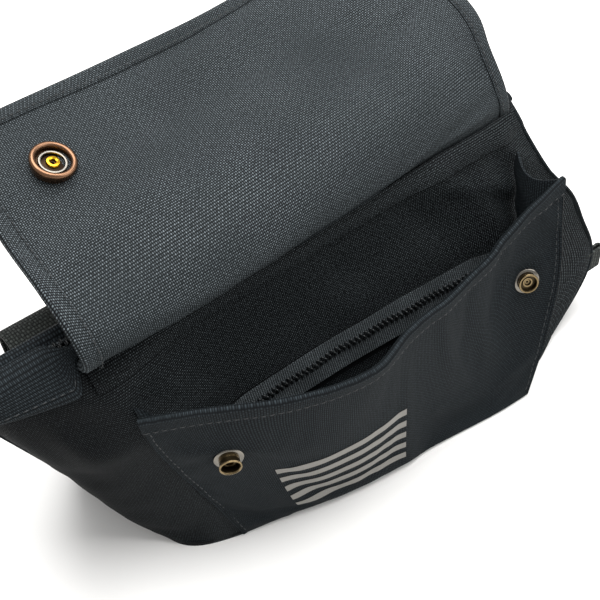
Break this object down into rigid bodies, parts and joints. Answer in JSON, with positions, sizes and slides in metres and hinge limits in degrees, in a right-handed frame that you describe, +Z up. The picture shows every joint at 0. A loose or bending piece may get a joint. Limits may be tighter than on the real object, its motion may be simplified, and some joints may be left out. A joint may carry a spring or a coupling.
{
  "type": "tail bag",
  "caption": "Soft motorcycle tail bag with a ridge zip, a front patch pocket with press studs and a fold-over flap, open.",
  "frame": {"origin": "middle of the flat base, on the ground", "axes": "+X along the bag to its right seen from the front, +Y from the front wall to the back wall, +Z up"},
  "size_m": [0.3004, 0.1277, 0.1542],
  "materials": {
    "shell_fabric": "coarse woven polyester",
    "lining": "woven polyester lining",
    "webbing": "basket-weave webbing",
    "zip_tape": "herringbone zip tape",
    "zip_coil": "nylon coil",
    "zip_metal": "dark plated zinc",
    "antique_brass": "antiqued, rubbed edges",
    "bright_brass": "bright",
    "board": "matt board"
  },
  "bodies": {
    "bag": {"base_panel": "shell_fabric", "front_wall": "shell_fabric", "back_wall": "shell_fabric", "left_end_panel": "shell_fabric", "right_end_panel": "shell_fabric", "base_stiffener": "board", "ridge_zip_front_tape": "zip_tape", "ridge_zip_back_tape": "zip_tape", "ridge_zip_coil": "zip_coil", "left_tab": "webbing", "right_tab": "webbing", "pocket_front": "shell_fabric", "pocket_left_gusset": "shell_fabric", "pocket_right_gusset": "shell_fabric", "pocket_hem": "shell_fabric", "pocket_zip_tapes": "zip_tape", "pocket_zip_coil": "zip_coil", "pocket_zip_lining": "lining", "flap_seam": "shell_fabric", "snap_studs": "antique_brass", "snap_rivets": "antique_brass", "mounting_band": "webbing", "left_strap_loop": "webbing", "right_strap_loop": "webbing"},
    "flap_strip": {"flap_strip": "shell_fabric"},
    "flap": {"flap_panel": "shell_fabric", "flap_lining": "lining", "flap_hem": "lining", "snap_sockets": "antique_brass", "snap_posts": "bright_brass", "snap_caps": "antique_brass"},
    "ridge_slider": {"ridge_zip_slider": "zip_metal"},
    "ridge_pull": {"ridge_zip_pull": "zip_metal"},
    "pocket_slider": {"pocket_zip_slider": "zip_metal"},
    "pocket_pull": {"pocket_zip_pull": "zip_metal"}
  },
  "joints": [
    {"name": "flap_fold", "type": "hinge", "parent": "bag", "child": "flap_strip", "pos_m": [0, -0.00999, 0.10462], "axis": [1, 0, 0], "range_deg": [0, 122.83]},
    {"name": "flap_bend", "type": "hinge", "parent": "flap_strip", "child": "flap", "pos_m": [0, 0.00288, 0.13352], "axis": [1, 0, 0], "range_deg": [0, 119.98]},
    {"name": "ridge_zip_slide", "type": "slide", "parent": "bag", "child": "ridge_slider", "axis": [1, 0, 0], "range_m": [0, 0.2315]},
    {"name": "ridge_zip_pull_hinge", "type": "hinge", "parent": "ridge_slider", "child": "ridge_pull", "pos_m": [-0.136, 0, 0.1128], "axis": [0, 1, 0], "range_deg": [0, 150]},
    {"name": "pocket_zip_slide", "type": "slide", "parent": "bag", "child": "pocket_slider", "axis": [1, 0, 0], "range_m": [0, 0.054]},
    {"name": "pocket_zip_pull_hinge", "type": "hinge", "parent": "pocket_slider", "child": "pocket_pull", "pos_m": [-0.06, -0.03208, 0.0567], "axis": [0, -0.3858, -0.9226], "range_deg": [0, 150]}
  ],
  "couplings": [
    {"joint": "flap_bend", "follows": "flap_fold", "ratio": 0.9768}
  ]
}
